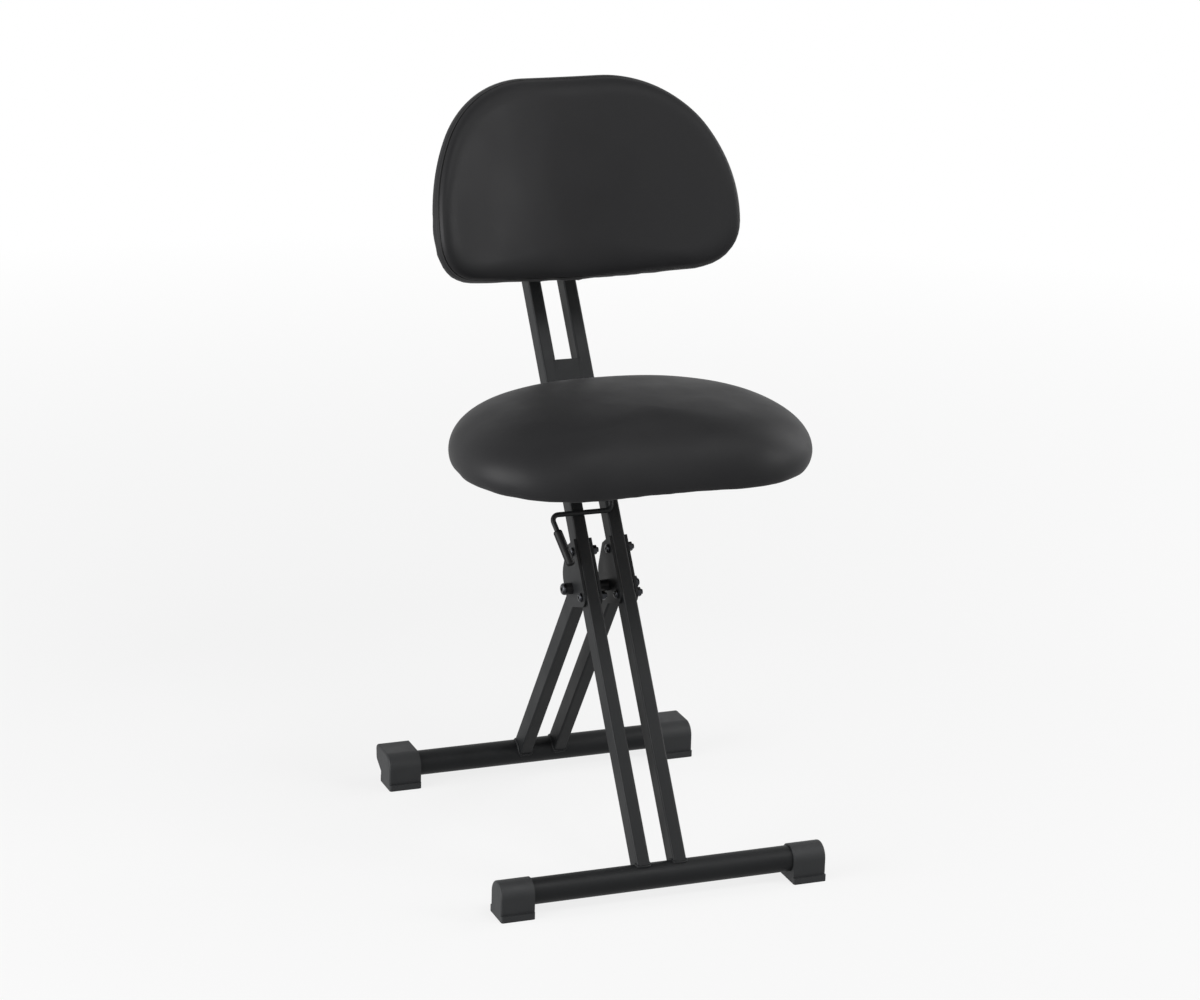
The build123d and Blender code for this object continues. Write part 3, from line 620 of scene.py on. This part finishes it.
panel_ring = 48
back_turn = Matrix.Rotation(-back_tilt, 3, "X")
# Half the outline, from the top's middle round a top corner, a long side and a low corner to the bottom's middle.
side_middle = back_half - back_side_radius
corner_rise = back_top + back_widest - back_top_corner
corner_run = math.sqrt((back_side_radius - back_top_corner) ** 2 - corner_rise ** 2)
side_turn = math.atan2(corner_rise, corner_run)
back_rim = [(0, back_top)]
for step in range(rim_steps + 1):
    bend = math.pi / 2 - (math.pi / 2 - side_turn) * step / rim_steps
    back_rim.append((side_middle + corner_run + back_top_corner * math.cos(bend),
                     back_top - back_top_corner * (1 - math.sin(bend))))
for step in range(1, rim_steps + 1):
    bend = side_turn * (1 - step / rim_steps)
    back_rim.append((side_middle + back_side_radius * math.cos(bend),
                     back_side_radius * math.sin(bend) - back_widest))
for step in range(1, rim_steps + 1):
    bend = math.pi / 2 * step / rim_steps
    across = abs(math.cos(bend)) ** (2 / low_corner_fullness)
    down = math.sin(bend) ** (2 / low_corner_fullness)
    back_rim.append((back_half - back_low_corner * (1 - across), -back_widest - back_low_corner * down))
back_rim.append((0, -back_deep - back_bow))


def back_outline(angle):
    """The outline's point, seen from the pad's middle at an angle."""
    across = abs(math.cos(angle))
    up = math.sin(angle)
    for (x0, z0), (x1, z1) in zip(back_rim, back_rim[1:]):
        crossing = across * (z1 - z0) - up * (x1 - x0)
        share = (up * x0 - across * z0) / crossing if crossing else -1
        if -1e-9 <= share <= 1 + 1e-9:
            x = x0 + share * (x1 - x0)
            return math.copysign(x, math.cos(angle)), z0 + share * (z1 - z0)
    return 0.0, math.copysign(back_top if up > 0 else back_deep, up)


backrest, spots = polar_ball("backrest_cushion_cover", back_segments, back_rings)
back_held = []
seam_shade_places = []
for index, angle, ring in spots:
    rim_x, rim_z = back_outline(angle)
    reach = math.hypot(rim_x, rim_z)
    roll = panel_roll + low_roll * max(0.0, -math.sin(angle)) ** 2
    share = 1.0
    if ring <= rear_ring:
        inset = shell_edge
        depth = 0.0
        share = ring / rear_ring
    elif ring <= boxing_ring:
        bend = math.pi / 2 * (ring - rear_ring) / (boxing_ring - rear_ring)
        inset = shell_edge * (1 - math.sin(bend))
        depth = shell_edge * (1 - math.cos(bend))
    elif ring <= seam_ring:
        rise = 1 - ((seam_ring - ring) / (seam_ring - boxing_ring)) ** boxing_ease
        inset = seam_inset * rise - boxing_bulge * math.sin(math.pi * rise)
        depth = shell_edge + (seam_depth - shell_edge) * rise
    elif ring <= panel_ring:
        bend = math.pi / 2 * (ring - seam_ring) / (panel_ring - seam_ring)
        inset = seam_inset + roll * (1 - math.cos(bend))
        depth = seam_depth + (panel_depth - seam_depth) * math.sin(bend)
    else:
        inset = seam_inset + roll
        share = 1 - (ring - panel_ring) / (back_rings - panel_ring)
        depth = panel_depth
    if ring <= rear_ring or ring == seam_ring:
        back_held.append(index)
    # The seam's vertices and those beside it get painted shade.
    if abs(ring - seam_ring) <= 1:
        seam_shade_places.append(index)
    scale = (reach - inset) / reach * share
    x = rim_x * scale
    z = rim_z * scale
    y = math.sqrt((back_curve - depth) ** 2 - x ** 2) - back_curve
    backrest.data.vertices[index].co = back_turn @ Vector((x, y, z)) + back_middle
swell_cover(backrest, back_held, 0.002, 4.0)
# The seam's thread draws the cover in to a narrow slot, and a low fold stands up on each side of it.
# Under the pad, where the cover is turned over the shell, it is gathered into small puckers.
seam_draw = {-4: 0.1, -2: -0.1, -1: -0.14, 0: 1.0, 1: -0.14, 2: -0.14, 3: -0.08}
rim = {}
for index, angle, ring in spots:
    if ring == seam_ring:
        rim[round(angle * 1000)] = backrest.data.vertices[index].co.copy()
for index, angle, ring in spots:
    vertex = backrest.data.vertices[index]
    inward = back_turn @ Vector((-math.cos(angle), 0, -math.sin(angle)))
    if abs(ring - seam_ring) == 1:
        thread = rim[round(angle * 1000)]
        vertex.co = thread + (vertex.co - thread).normalized() * seam_slot / 2
    if ring - seam_ring in seam_draw:
        vertex.co += inward * seam_groove * seam_draw[ring - seam_ring]
    elif rear_ring < ring < seam_ring - 2 and math.sin(angle) < -0.2:
        fade = 1 - (ring - rear_ring) / (seam_ring - 2 - rear_ring)
        round_back = Vector((math.cos(angle) * back_pucker_turns, math.sin(angle) * back_pucker_turns, 0.7))
        vertex.co += inward * (back_pucker * fade * noise.noise(round_back))
# Painted shade: the cover is darkened to near black at the marked seam vertices.
seam_painted_shade = backrest.data.attributes.new("seam_painted_shade", "FLOAT", "POINT")
for index in seam_shade_places:
    seam_painted_shade.data[index].value = 1.0
bpy.ops.object.mode_set(mode="EDIT")
bpy.ops.mesh.select_all(action="SELECT")
bpy.ops.mesh.remove_doubles(threshold=merge_distance)
bpy.ops.mesh.normals_make_consistent(inside=False)
bpy.ops.object.mode_set(mode="OBJECT")
bpy.ops.object.shade_smooth()
backrest.data.materials.append(leatherette)
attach(backrest, "frame")
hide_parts("backrest_cushion")
backrest.select_set(False)

# ---------------------------------------------------------------- Backrest welt
# A thin piping of dull vinyl, sewn in between panel and boxing. It lies just below the seam's mouth.
# It isn't embossed like the cover. Its near-black colour with almost no sheen is painted shade for the seam's groove,
# so it shows as a fine dead black line.
welt_vinyl_and_seam_shade, place = new_material("dull vinyl welt")
wear = add_node(welt_vinyl_and_seam_shade, "ShaderNodeTexNoise", {"Scale": 1 / 0.01, "Detail": 3.0}, [("Vector", place, "Object")])
# Near-black tint: the piping's vinyl, darkened as painted shade for the seam's groove.
tint = add_node(welt_vinyl_and_seam_shade, "ShaderNodeMix", {"data_type": "RGBA", 6: linear("#030303"), 7: linear("#080809")},
                [(0, wear, "Fac")])
gloss = add_node(welt_vinyl_and_seam_shade, "ShaderNodeMapRange", {"To Min": 0.75, "To Max": 0.9}, [("Value", wear, "Fac")])
surface = add_node(welt_vinyl_and_seam_shade, "ShaderNodeBsdfPrincipled", {"IOR": 1.5, "Specular IOR Level": 0.04},
                   [("Base Color", tint, 2), ("Roughness", gloss, "Result")])
add_node(welt_vinyl_and_seam_shade, "ShaderNodeOutputMaterial", {}, [("Surface", surface, "BSDF")])
welt_radius = 0.0009
welt_below = 0.0004
bpy.ops.mesh.primitive_circle_add(vertices=len(rim), radius=1)
welt = bpy.context.object
welt.name = "backrest_welt"
seam_line = [rim[key] for key in sorted(rim)]
for vertex, point in zip(welt.data.vertices, seam_line):
    vertex.co = point + (back_middle - point).normalized() * welt_below
bpy.ops.object.convert(target="CURVE")
welt.data.bevel_depth = welt_radius
welt.data.bevel_resolution = 2
bpy.ops.object.convert(target="MESH")
bpy.ops.object.shade_smooth()
welt.data.materials.append(welt_vinyl_and_seam_shade)
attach(welt, "frame")
welt.select_set(False)

# ---------------------------------------------------------------- Floor, backdrop and light
# A plain white floor and room, lit by five soft boxes.
# Both look white, and the floor keeps a soft shadow.
bpy.ops.mesh.primitive_plane_add(size=60, location=(0, 0, 0))
floor = bpy.context.object
floor.name = "floor"
floor_paint, place = new_material("matt white floor")
# It is plain white to the eye. The share of its own light is less near the throne, where the shadow falls.
ray = add_node(floor_paint, "ShaderNodeLightPath", {})
eye_or_gloss = add_node(floor_paint, "ShaderNodeMath", {"operation": "MAXIMUM"},
                        [(0, ray, "Is Camera Ray"), (1, ray, "Is Glossy Ray")])
seen = add_node(floor_paint, "ShaderNodeMath", {"operation": "MAXIMUM"},
                [(0, eye_or_gloss, "Value"), (1, ray, "Is Transmission Ray")])
away = add_node(floor_paint, "ShaderNodeVectorMath", {"operation": "LENGTH"}, [(0, place, "Object")])
own_light = add_node(floor_paint, "ShaderNodeMapRange",
                     {"From Min": 0.8, "From Max": 3.0, "To Min": 0.8, "To Max": 1.0}, [("Value", away, "Value")])
glow = add_node(floor_paint, "ShaderNodeMath", {"operation": "MULTIPLY"},
                [(0, seen, "Value"), (1, own_light, "Result")])
matt = add_node(floor_paint, "ShaderNodeBsdfDiffuse", {"Color": linear("#bcbcbc")})
white = add_node(floor_paint, "ShaderNodeEmission", {"Color": (1, 1, 1, 1), "Strength": 1.0})
blend = add_node(floor_paint, "ShaderNodeMixShader", {},
                 [("Fac", glow, "Value"), (1, matt, "BSDF"), (2, white, "Emission")])
add_node(floor_paint, "ShaderNodeOutputMaterial", {}, [("Surface", blend, "Shader")])
floor.data.materials.append(floor_paint)

world = bpy.data.worlds.new("studio")
bpy.context.scene.world = world
world.use_nodes = True
world.node_tree.nodes.clear()
ray = add_node(world, "ShaderNodeLightPath", {})
eye_or_gloss = add_node(world, "ShaderNodeMath", {"operation": "MAXIMUM"},
                        [(0, ray, "Is Camera Ray"), (1, ray, "Is Glossy Ray")])
seen = add_node(world, "ShaderNodeMath", {"operation": "MAXIMUM"},
                [(0, eye_or_gloss, "Value"), (1, ray, "Is Transmission Ray")])
level = add_node(world, "ShaderNodeMapRange", {"To Min": 0.22, "To Max": 1.0}, [("Value", seen, "Value")])
background = add_node(world, "ShaderNodeBackground", {"Color": (1, 1, 1, 1)}, [("Strength", level, "Result")])
add_node(world, "ShaderNodeOutputWorld", {}, [("Surface", background, "Background")])

lamps = [
    ("left_softbox", (-2.6, -0.35, 0.75), (2.2, 1.5), 124),
    ("right_softbox", (2.2, 0.4, 1.4), (0.8, 1.8), 24),
    ("high_front_softbox", (0.7, -1.8, 2.9), (1.4, 1.0), 42),
    ("right_front_softbox", (2.2, -1.3, 1.15), (0.9, 1.2), 39),
    ("left_front_softbox", (-0.9, -2.7, 1.6), (1.0, 1.0), 16),
]
lamp_target = Vector((0, 0, 0.5))
for name, position, size, power in lamps:
    bpy.ops.object.light_add(type="AREA", location=position)
    lamp = bpy.context.object
    lamp.name = name
    lamp.data.shape = "RECTANGLE"
    lamp.data.size = size[0]
    lamp.data.size_y = size[1]
    lamp.data.energy = power
    aim = lamp_target - Vector(position)
    lamp.rotation_euler = aim.to_track_quat("-Z", "Y").to_euler()
bpy.context.scene.view_settings.view_transform = "Standard"
